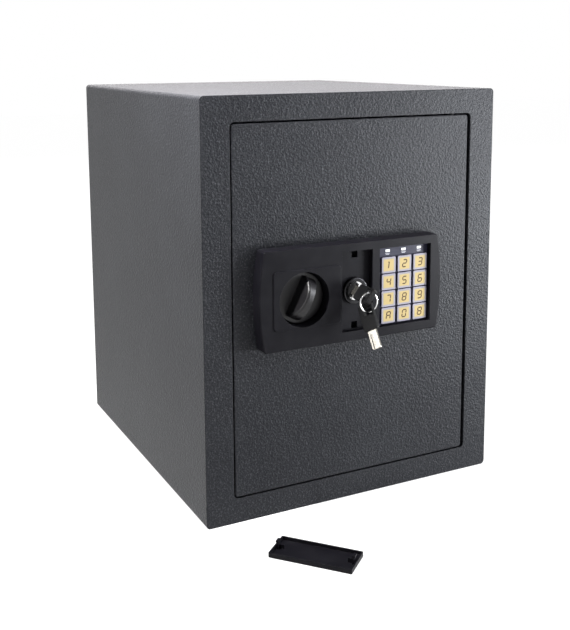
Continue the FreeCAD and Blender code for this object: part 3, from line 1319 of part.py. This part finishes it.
def make_key_cover():
    """Shallow tray that snaps over the key recess, lying on its face in front of the safe."""
    body = new_body("loose_body")
    outline = sketch_on(body, "XY_Plane", "loose_outline")
    add_rectangle(outline, "-loose_long / 2", "loose_long / 2", "-loose_wide / 2", "loose_wide / 2")
    last = pad(body, outline, "loose_high", "loose_pad")
    last = round_edges(body, last, "1.2", runs_along(2), "loose_corners")
    last = round_edges(body, last, "0.6", lies_at(2, 0), "loose_edge")
    DOC.recompute()
    hollow = block("loose_hollow", ("-loose_long / 2 + loose_skin", "loose_long / 2 - loose_skin"),
                   ("-loose_wide / 2 + loose_skin", "loose_wide / 2 - loose_skin"),
                   ("loose_skin", "loose_high + 1"))
    tray = cut("loose_tray", body, [hollow])
    legs = {
        "left": ("-clip_reach - 1.2", "-clip_reach + 0.4"),
        "right": ("clip_reach - 0.4", "clip_reach + 1.2"),
    }
    hooks = {
        "left": ("-clip_reach - 2.2", "-clip_reach + 0.4"),
        "right": ("clip_reach - 0.4", "clip_reach + 2.2"),
    }
    ribs = {"left": ("-clip_reach", "-clip_reach + 5"), "right": ("clip_reach - 5", "clip_reach")}
    across = ("-clip_half", "clip_half")
    foot = "loose_skin - 0.2"
    members = [tray]
    for side in ("left", "right"):
        members.append(block("clip_leg_" + side, legs[side], across, (foot, "loose_high + clip_high")))
        members.append(block("clip_hook_" + side, hooks[side], across,
                             ("loose_high + clip_high - 1.6", "loose_high + clip_high")))
        members.append(block("clip_rib_" + side, ribs[side], ("-0.6", "0.6"), (foot, "loose_high + 1")))
    cover = fuse("key_cover_solid", members)
    place(cover, ("-loose_left", "-%s - loose_before" % FRONT, "0"), turn((0, 0, 1), -number("loose_turn")))
    node(cover, "key_cover")


# ---------------------------------------------------------------- build, check and write


def build():
    make_cabinet_wrap()
    make_back_panel()
    make_front_frame()
    make_hinge_bushes()
    make_floor_mat()
    make_shelf_brackets()
    make_shelf()
    make_door_plate()
    make_hinge_parts()
    make_door_cover()
    make_cover_screws()
    make_lock_panel()
    make_panel_screws()
    make_keypad()
    make_keys()
    make_knob()
    make_knob_drive()
    make_carriage()
    make_bolts()
    make_carriage_studs()
    make_lock_housing()
    make_lock_plug()
    make_lock_cam()
    make_key("", place_working_key)
    make_key_ring()
    make_key("spare_", place_spare_key)
    make_solenoid()
    make_battery_parts()
    make_leads()
    make_key_cover()
    DOC.recompute()


def check():
    """Stop on any failed object, and on any sub-part without a valid shape."""
    for obj in DOC.Objects:
        if "Invalid" in obj.State or "Error" in obj.State:
            raise RuntimeError("%s failed: %s" % (obj.Name, obj.State))
    for part in NODES:
        shape = part.Shape
        if shape.isNull() or not shape.isValid() or not shape.Solids:
            raise RuntimeError("%s has no valid solid" % part.Label)


def write():
    os.makedirs("parts", exist_ok=True)
    for part in NODES:
        part.Shape.exportStep("parts/%s.step" % part.Label)
        print("%-18s %2d solid(s) %12.1f mm3" % (part.Label, len(part.Shape.Solids), part.Shape.Volume))
    print(len(NODES), "sub-parts")


build()
check()
write()
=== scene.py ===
import json
import math

import bmesh
import bpy
from mathutils import Matrix, Vector


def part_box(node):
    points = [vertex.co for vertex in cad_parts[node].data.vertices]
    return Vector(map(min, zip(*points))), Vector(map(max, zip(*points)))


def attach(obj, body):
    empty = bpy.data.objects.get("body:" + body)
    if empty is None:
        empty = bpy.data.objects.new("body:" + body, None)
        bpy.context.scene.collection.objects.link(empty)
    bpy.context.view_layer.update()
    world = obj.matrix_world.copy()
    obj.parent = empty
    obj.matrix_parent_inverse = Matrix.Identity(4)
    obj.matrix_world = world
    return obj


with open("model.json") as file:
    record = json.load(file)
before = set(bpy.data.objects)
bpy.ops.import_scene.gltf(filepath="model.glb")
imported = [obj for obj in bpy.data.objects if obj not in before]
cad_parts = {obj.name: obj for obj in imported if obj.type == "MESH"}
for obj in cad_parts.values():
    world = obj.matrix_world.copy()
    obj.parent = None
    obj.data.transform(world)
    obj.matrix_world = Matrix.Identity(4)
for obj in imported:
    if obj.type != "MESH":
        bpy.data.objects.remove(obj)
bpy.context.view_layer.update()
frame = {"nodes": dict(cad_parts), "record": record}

MM = 0.001

# ---------------------------------------------------------------- camera, floor and light

CAMERA_PLACE = Vector((-0.4732, -0.9599, 0.4365))
CAMERA_AZIMUTH = math.radians(-26.914)
CAMERA_ELEVATION = math.radians(8.405)
CAMERA_ROLL = math.radians(-0.286)
CAMERA_LENS = 55.13
CAMERA_SHIFT = -0.19

HORIZON_STRENGTH = 1.0
SKY_STRENGTH = 0.22
SKY_STARTS = 0.12
SKY_FULL = 0.3
FLOOR_GLOW = 0.93
FLOOR_HALF = 6


def view_axes(azimuth, elevation):
    """Camera right, up and back, for a camera that looks at the object from azimuth and elevation."""
    back = Vector((math.sin(azimuth) * math.cos(elevation),
                   -math.cos(azimuth) * math.cos(elevation),
                   math.sin(elevation)))
    right = Vector((0, 0, 1)).cross(back).normalized()
    return right, back.cross(right), back


def make_camera():
    data = bpy.data.cameras.new("camera")
    camera = bpy.data.objects.new("camera", data)
    bpy.context.scene.collection.objects.link(camera)
    right, up, back = view_axes(CAMERA_AZIMUTH, CAMERA_ELEVATION)
    rolled_right = right * math.cos(CAMERA_ROLL) + up * math.sin(CAMERA_ROLL)
    rolled_up = up * math.cos(CAMERA_ROLL) - right * math.sin(CAMERA_ROLL)
    matrix = Matrix((rolled_right, rolled_up, back)).transposed().to_4x4()
    matrix.translation = CAMERA_PLACE
    camera.matrix_world = matrix
    data.lens = CAMERA_LENS
    data.shift_y = CAMERA_SHIFT
    data.clip_start = 0.02
    data.clip_end = 50
    bpy.context.scene.camera = camera


def area_light(name, place, target, size, watts, colour=(1, 1, 1)):
    data = bpy.data.lights.new(name, "AREA")
    data.shape = "RECTANGLE"
    data.size, data.size_y = size
    data.energy = watts
    data.color = colour
    light = bpy.data.objects.new(name, data)
    bpy.context.scene.collection.objects.link(light)
    light.visible_camera = False
    light.location = place
    light.rotation_euler = (Vector(target) - Vector(place)).to_track_quat("-Z", "Y").to_euler()


def make_world():
    """White round the horizon, and a dimmer grey sky above it."""
    world = bpy.data.worlds.new("studio")
    bpy.context.scene.world = world
    world.use_nodes = True
    nodes = world.node_tree.nodes
    links = world.node_tree.links
    place = nodes.new("ShaderNodeTexCoord")
    split = nodes.new("ShaderNodeSeparateXYZ")
    links.new(place.outputs["Generated"], split.inputs["Vector"])
    height = nodes.new("ShaderNodeMapRange")
    height.interpolation_type = "SMOOTHSTEP"
    height.inputs["From Min"].default_value = SKY_STARTS
    height.inputs["From Max"].default_value = SKY_FULL
    height.inputs["To Min"].default_value = HORIZON_STRENGTH
    height.inputs["To Max"].default_value = SKY_STRENGTH
    links.new(split.outputs["Z"], height.inputs["Value"])
    links.new(height.outputs["Result"], nodes["Background"].inputs["Strength"])
    nodes["Background"].inputs["Color"].default_value = (1, 1, 1, 1)


def make_floor():
    mesh = bpy.data.meshes.new("floor")
    corners = [(x * FLOOR_HALF, y * FLOOR_HALF, 0) for x, y in ((-1, -1), (1, -1), (1, 1), (-1, 1))]
    mesh.from_pydata(corners, [], [(0, 1, 2, 3)])
    floor = bpy.data.objects.new("floor", mesh)
    bpy.context.scene.collection.objects.link(floor)
    white = Look("floor_white", (0.2, 0.2, 0.2), 0.9)
    white.shader.inputs["Specular IOR Level"].default_value = 0.1
    white.shader.inputs["Emission Color"].default_value = (1, 1, 1, 1)
    white.shader.inputs["Emission Strength"].default_value = FLOOR_GLOW
    mesh.materials.append(white.material)


def make_studio():
    """Pale floor, soft boxes behind, at the left and at the right front, and a lamp that grazes the front."""
    bpy.context.scene.view_settings.view_transform = "Standard"
    make_world()
    make_floor()
    area_light("back_box", (0.7, 2.6, 1.35), (0, 0, 0.4), (3.2, 1.2), 40, (1.0, 0.97, 1.0))
    area_light("near_box", (0.38, -0.44, 0.39), (0.1, -0.18, 0.3), (0.22, 0.22), 2.1, (0.93, 0.95, 1.0))
    area_light("low_box", (0.8, -0.7, 0.1), (0.08, -0.18, 0.14), (0.4, 0.2), 13, (0.94, 0.97, 1.0))
    area_light("key_box", (0.9, -1.2, 1.3), (0.1, -0.18, 0.3), (0.7, 0.7), 9, (0.95, 0.95, 1.0))
    area_light("left_box", (-1.9, 0.2, 0.9), (-0.16, 0, 0.25), (0.9, 0.9), 18, (1.0, 0.99, 0.98))
    area_light("graze_lamp", (-0.30, -0.212, 0.70), (-0.14, -0.18, 0.3), (0.04, 0.02), 11, (1.0, 0.99, 0.98))


# ---------------------------------------------------------------- materials


class Look:
    """One material built around its Principled shader, patterned in the object's own metres."""

    def __init__(self, name, colour, roughness, metallic=0.0):
        self.material = bpy.data.materials.new(name)
        self.material.use_nodes = True
        self.nodes = self.material.node_tree.nodes
        self.links = self.material.node_tree.links
        self.shader = self.nodes["Principled BSDF"]
        self.shader.inputs["Base Color"].default_value = (*colour, 1)
        self.shader.inputs["Roughness"].default_value = roughness
        self.shader.inputs["Metallic"].default_value = metallic
        self.colour = colour
        self.roughness = roughness
        self.where = self.nodes.new("ShaderNodeTexCoord").outputs["Object"]
        self.normal = None

    def stretched(self, scale):
        mapping = self.nodes.new("ShaderNodeMapping")
        mapping.inputs["Scale"].default_value = scale
        self.links.new(self.where, mapping.inputs["Vector"])
        return mapping.outputs["Vector"]

    def noise(self, cell, detail=2.0, rough=0.5, stretch=None):
        """Cloud noise whose features are about cell metres across."""
        texture = self.nodes.new("ShaderNodeTexNoise")
        texture.inputs["Scale"].default_value = 1 / cell
        texture.inputs["Detail"].default_value = detail
        texture.inputs["Roughness"].default_value = rough
        place = self.where if stretch is None else self.stretched(stretch)
        self.links.new(place, texture.inputs["Vector"])
        return texture.outputs["Fac"]

    def cells(self, cell, feature="F1"):
        texture = self.nodes.new("ShaderNodeTexVoronoi")
        texture.feature = feature
        texture.inputs["Scale"].default_value = 1 / cell
        self.links.new(self.where, texture.inputs["Vector"])
        return texture.outputs["Distance"]

    def remap(self, value, low, high, to_low, to_high):
        node = self.nodes.new("ShaderNodeMapRange")
        for name, number in (("From Min", low), ("From Max", high), ("To Min", to_low), ("To Max", to_high)):
            node.inputs[name].default_value = number
        self.links.new(value, node.inputs["Value"])
        return node.outputs["Result"]

    def shade(self, factor, other):
        """Blend the base colour towards another colour where the factor is high."""
        mix = self.nodes.new("ShaderNodeMix")
        mix.data_type = "RGBA"
        colour_in = self.shader.inputs["Base Color"]
        self.links.new(factor, mix.inputs["Factor"])
        if colour_in.is_linked:
            self.links.new(colour_in.links[0].from_socket, mix.inputs["A"])
        else:
            mix.inputs["A"].default_value = (*self.colour, 1)
        mix.inputs["B"].default_value = (*other, 1)
        self.links.new(mix.outputs["Result"], colour_in)

    def vary_roughness(self, value, spread):
        low = self.roughness - spread
        self.links.new(self.remap(value, 0.3, 0.7, low, low + 2 * spread), self.shader.inputs["Roughness"])

    def soften_edges(self, radius):
        bevel = self.nodes.new("ShaderNodeBevel")
        bevel.samples = 4
        bevel.inputs["Radius"].default_value = radius
        self.normal = bevel.outputs["Normal"]
        self.links.new(self.normal, self.shader.inputs["Normal"])

    def bump(self, height, distance):
        node = self.nodes.new("ShaderNodeBump")
        node.inputs["Distance"].default_value = distance
        node.inputs["Strength"].default_value = 1.0
        self.links.new(height, node.inputs["Height"])
        if self.normal is not None:
            self.links.new(self.normal, node.inputs["Normal"])
        self.normal = node.outputs["Normal"]
        self.links.new(self.normal, self.shader.inputs["Normal"])


def powder_coat():
    """Anthracite powder coat: pebbled orange peel, faint mottling, and painted sparkle, where lighter flecks
    on the grain's crests stand in for glints of light.
    """
    look = Look("powder_coat", (0.009, 0.0095, 0.0118), 0.42)
    look.shader.inputs["Specular IOR Level"].default_value = 0.13
    look.soften_edges(1.2 * MM)
    pebbles = look.cells(2.4 * MM, "SMOOTH_F1")
    grain = look.noise(1.7 * MM, detail=2, rough=0.6)
    look.bump(pebbles, 0.35 * MM)
    look.bump(grain, 0.5 * MM)
    look.shade(look.remap(look.noise(60 * MM, detail=3), 0.35, 0.7, 0, 0.35), (0.017, 0.0185, 0.0215))
    # painted sparkle: the grain's crests are painted lighter to stand in for glints of light on the bumps
    look.shade(look.remap(grain, 0.53, 0.7, 0, 0.5), (0.06, 0.062, 0.068))
    look.vary_roughness(grain, 0.07)
    return look.material


def grained_plastic(name, colour, roughness, grain=0.5, depth=0.05, level=0.5):
    """Moulded plastic with a spark-eroded grain and handling smudges in the roughness; the same patches are
    painted lighter as a painted sheen.
    """
    look = Look(name, colour, roughness)
    look.shader.inputs["Specular IOR Level"].default_value = level
    look.soften_edges(0.35 * MM)
    texture = look.noise(grain * MM, detail=2, rough=0.6)
    look.bump(texture, depth * MM)
    smudge_and_painted_sheen = look.noise(22 * MM, detail=4, rough=0.6)
    look.vary_roughness(smudge_and_painted_sheen, 0.06)
    # painted sheen: the smudge patches are painted lighter in colour to stand in for the light they catch
    painted_sheen_colour = [channel * 1.3 + 0.004 for channel in colour]
    look.shade(look.remap(smudge_and_painted_sheen, 0.45, 0.75, 0, 0.5), painted_sheen_colour)
    return look.material


def plated_metal(name, colour, roughness, brush=0.0, direction=(1, 1, 1)):
    """Plated or polished metal with fine scratches."""
    look = Look(name, colour, roughness, metallic=1.0)
    look.soften_edges(0.3 * MM)
    scratches = look.noise(0.9 * MM, detail=4, rough=0.7, stretch=direction)
    look.bump(scratches, 0.012 * MM * (1 + brush))
    haze = look.noise(9 * MM, detail=4)
    look.vary_roughness(haze, min(0.08, roughness * 0.5))
    look.shade(look.remap(haze, 0.5, 0.8, 0, 0.4), [channel * 0.8 for channel in colour])
    return look.material


def felt():
    look = Look("felt", (0.035, 0.036, 0.04), 0.95)
    look.shader.inputs["Sheen Weight"].default_value = 0.4
    look.shader.inputs["Sheen Roughness"].default_value = 0.5
    fibres = look.noise(0.7 * MM, detail=5, rough=0.8)
    look.bump(fibres, 0.5 * MM)
    look.shade(look.remap(fibres, 0.55, 0.75, 0, 0.6), (0.1, 0.1, 0.11))
    return look.material


def satin_film(name, colour, roughness):
    """Printed polyester film."""
    look = Look(name, colour, roughness)
    look.shader.inputs["Specular IOR Level"].default_value = 0.2
    texture = look.noise(0.35 * MM, detail=1)
    look.bump(texture, 0.01 * MM)
    look.vary_roughness(look.noise(15 * MM, detail=3), 0.05)
    return look.material


def solder_mask():
    look = Look("solder_mask", (0.02, 0.17, 0.06), 0.35)
    look.shade(look.remap(look.cells(2.4 * MM), 0.1, 0.2, 0.5, 0), (0.05, 0.3, 0.12))
    return look.material


def wound_tape():
    look = Look("wound_tape", (0.55, 0.36, 0.08), 0.4)
    look.bump(look.noise(0.5 * MM, detail=2, stretch=(0.1, 0.1, 1)), 0.05 * MM)
    return look.material


def make_materials():
    return {
        "body_paint": powder_coat(),
        "panel_plastic": grained_plastic("panel_plastic", (0.0042, 0.004, 0.0056), 0.42, 0.6, 0.03, 0.08),
        "knob_plastic": grained_plastic("knob_plastic", (0.0055, 0.0052, 0.006), 0.36, 0.8, 0.01, 0.34),
        "bow_plastic": grained_plastic("bow_plastic", (0.003, 0.003, 0.0034), 0.4, 0.5, 0.02, 0.12),
        "key_cap": grained_plastic("key_cap", (0.2, 0.19, 0.235), 0.4, 0.4, 0.01, 0.3),
        "label": satin_film("label_film", (0.018, 0.018, 0.034), 0.32),
        "lens": satin_film("lens", (0.95, 0.95, 0.95), 0.25),
        # painted shade: the nylon is coloured near black so the bushes seen through the door gap read as
        # shaded
        "nylon": grained_plastic("nylon", (0.03, 0.03, 0.03), 0.5, 0.5, 0.02),
        "felt": felt(),
        "steel": plated_metal("zinc_steel", (0.52, 0.52, 0.5), 0.38, 2, (0.06, 1, 1)),
        "nickel": plated_metal("nickel", (0.74, 0.72, 0.68), 0.24, 0.5, (1, 1, 0.1)),
        "chrome": plated_metal("chrome", (0.82, 0.82, 0.82), 0.12),
        "board": solder_mask(),
        "coil": wound_tape(),
        "cell": satin_film("cell_sleeve", (0.06, 0.07, 0.09), 0.3),
        "lead": satin_film("lead_jacket", (0.02, 0.02, 0.02), 0.5),
        "button_red": grained_plastic("button_red", (0.42, 0.03, 0.025), 0.4),
        "black_chrome": plated_metal("black_chrome", (0.035, 0.035, 0.037), 0.25),
        # painted shade: near black steel for the hinge pins, so the door gap where they show reads as shaded
        "steel_darkened_for_gap_shade": plated_metal("steel_darkened_for_gap_shade", (0.05, 0.05, 0.05), 0.5),
        "key_steel": plated_metal("key_steel", (0.5, 0.475, 0.43), 0.2, 0.3, (1, 1, 0.1)),
        "key_centre": satin_film("key_centre", (0.36, 0.275, 0.115), 0.5),
        "key_line": satin_film("key_line", (0.25, 0.23, 0.2), 0.5),
        "key_digit": satin_film("key_digit", (0.05, 0.028, 0.011), 0.5),
        "label_mark": satin_film("label_mark", (0.42, 0.42, 0.46), 0.5),
    }


# the hinge pins take the darkened steel as painted shade in the door gap
NODE_LOOKS = {"lock_housing": "black_chrome", "hinge_pins": "steel_darkened_for_gap_shade", "key_blade": "key_steel",
              "spare_key_blade": "key_steel"}


def dress_nodes(materials):
    """Give every CAD node the material of its slot, or the finish of its own where it has one; the hinge pins
    take a steel darkened as painted shade for the door gap.
    """
    for part in frame["record"]["subparts"]:
        mesh = frame["nodes"][part["node"]].data
        mesh.materials.clear()
        mesh.materials.append(materials[NODE_LOOKS.get(part["node"], part["material_slot"])])


# ---------------------------------------------------------------- mesh helpers


def piece_from(name, mesh_data, body, material):
    mesh = bpy.data.meshes.new(name)
    mesh_data.to_mesh(mesh)
    mesh_data.free()
    mesh.materials.append(material)
    piece = bpy.data.objects.new(name, mesh)
    bpy.context.scene.collection.objects.link(piece)
    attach(piece, body)
    return piece


def rounded_square(half, corner, steps=5):
    """Outline points of a square with round corners, counter-clockwise, in (x, z)."""
    points = []
    for quarter in range(4):
        turn = quarter * math.pi / 2
        centre = Vector((half - corner, half - corner))
        centre.rotate(Matrix.Rotation(turn, 2))
        for step in range(steps + 1):
            angle = turn + step / steps * math.pi / 2
            points.append(centre + corner * Vector((math.cos(angle), math.sin(angle))))
    return points


def add_prism(mesh, outline, centre, front, back):
    """Closed prism along Y. The outline is in (x, z) about the centre, and front is the lower y."""
    near = [mesh.verts.new((centre.x + p.x, front, centre.z + p.y)) for p in outline]
    far = [mesh.verts.new((centre.x + p.x, back, centre.z + p.y)) for p in outline]
    count = len(outline)
    mesh.faces.new(near)
    mesh.faces.new(list(reversed(far)))
    for index in range(count):
        after = (index + 1) % count
        mesh.faces.new((near[after], near[index], far[index], far[after]))


def add_ring(mesh, outer, inner, centre, front, back):
    """Closed frame along Y between two outlines with the same number of points."""
    rings = []
    for outline in (outer, inner):
        for y in (front, back):
            rings.append([mesh.verts.new((centre.x + p.x, y, centre.z + p.y)) for p in outline])
    outer_near, outer_far, inner_near, inner_far = rings
    count = len(outer)
    for index in range(count):
        after = (index + 1) % count
        mesh.faces.new((outer_near[index], outer_near[after], inner_near[after], inner_near[index]))
        mesh.faces.new((outer_far[after], outer_far[index], inner_far[index], inner_far[after]))
        mesh.faces.new((outer_near[after], outer_near[index], outer_far[index], outer_far[after]))
        mesh.faces.new((inner_near[index], inner_near[after], inner_far[after], inner_far[index]))


# ---------------------------------------------------------------- keypad print

DIGIT_HALF_WIDTH = 2.1 * MM
DIGIT_HALF_HEIGHT = 3.5 * MM
DIGIT_STROKE = 1.15 * MM
DIGIT_SLANT = 0.14
CENTRE_HALF = 5.6 * MM
LINE_HALF = 6.6 * MM
PRINT_STEP = 0.05 * MM
PRINT_DEPTH = 0.2 * MM
CENTRE_CORNER = 0.5 * MM
LINE_CORNER = 1.1 * MM
BAR_GAP = 0.08 * MM
DASH_ASIDE = 0.3 * MM
DASH_HALF_HEIGHT = 0.24 * MM
DASH_ROWS = ((1.5, 2.6), (2.5, 1.9))  # distance under the windows and half length, in millimetres

# which bars each character lights: top, upper left, upper right, middle, lower left,
# lower right, bottom, then the upright in the middle and its short flag
BARS = {
    "0": "111011100", "1": "000000011", "2": "101110100", "3": "101101100", "4": "011101000",
    "5": "110101100", "6": "110111100", "7": "101001000", "8": "111111100", "9": "111101100",
    "a": "111111000", "b": "111111100",
}


def bar_outline(start, end):
    """A bar from start to end with pointed ends, as outline points in (x, z)."""
    along = (end - start).normalized()
    across = Vector((-along.y, along.x)) * DIGIT_STROKE / 2
    inset = along * DIGIT_STROKE / 2
    gap = along * BAR_GAP
    first = start + gap
    last = end - gap
    points = [first, first + inset - across, last - inset - across, last, last - inset + across,
              first + inset + across]
    return [Vector((point.x + DIGIT_SLANT * point.y, point.y)) for point in points]


def bar_ends():
    x = DIGIT_HALF_WIDTH
    z = DIGIT_HALF_HEIGHT
    corner = {
        "tl": Vector((-x, z)), "tr": Vector((x, z)), "ml": Vector((-x, 0)),
        "mr": Vector((x, 0)), "bl": Vector((-x, -z)), "br": Vector((x, -z)),
    }
    corner["foot"] = Vector((0, -z))
    corner["head"] = Vector((0, z))
    corner["flag"] = Vector((-1.3 * MM, z - 1.1 * MM))
    pairs = (("tl", "tr"), ("ml", "tl"), ("mr", "tr"), ("ml", "mr"), ("bl", "ml"), ("br", "mr"), ("bl", "br"),
             ("foot", "head"), ("flag", "head"))
    return [(corner[a], corner[b]) for a, b in pairs]


def print_keys(materials):
    """Cream centre, thin outline and bar-built character on each key cap."""
    for character, lit in BARS.items():
        node = "key_" + character
        low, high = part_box(node)
        centre = (low + high) / 2
        body = "button_" + character
        front = low.y - PRINT_STEP
        back = low.y + PRINT_DEPTH
        middle_outline = rounded_square(CENTRE_HALF, CENTRE_CORNER)
        pad = bmesh.new()
        add_prism(pad, middle_outline, centre, front, back)
        piece_from("centre_" + character, pad, body, materials["key_centre"])
        line = bmesh.new()
        add_ring(line, rounded_square(LINE_HALF, LINE_CORNER), middle_outline, centre, front, back)
        piece_from("outline_" + character, line, body, materials["key_line"])
        digit = bmesh.new()
        for (start, end), on in zip(bar_ends(), lit):
            if on == "1":
                add_prism(digit, bar_outline(start, end), centre, low.y - 2 * PRINT_STEP, low.y)
        piece_from("character_" + character, digit, body, materials["key_digit"])


def print_label(materials):
    """Short plain dashes under the status windows, in place of captions."""
    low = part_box("status_lenses")[0]
    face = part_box("keypad_label")[0].y
    marks = bmesh.new()
    for character in "123":
        key_low, key_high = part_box("key_" + character)
        middle = (key_low.x + key_high.x) / 2
        for row, half in DASH_ROWS:
            centre = Vector((middle - DASH_ASIDE, 0, low.z - row * MM))
            outline = [Vector((x * half * MM, z * DASH_HALF_HEIGHT))
                       for x, z in ((-1, -1), (1, -1), (1, 1), (-1, 1))]
            add_prism(marks, outline, centre, face - PRINT_STEP, face + 0.1 * MM)
    piece_from("label_dashes", marks, "door", materials["label_mark"])


make_camera()
make_studio()
materials = make_materials()
dress_nodes(materials)
print_keys(materials)
print_label(materials)
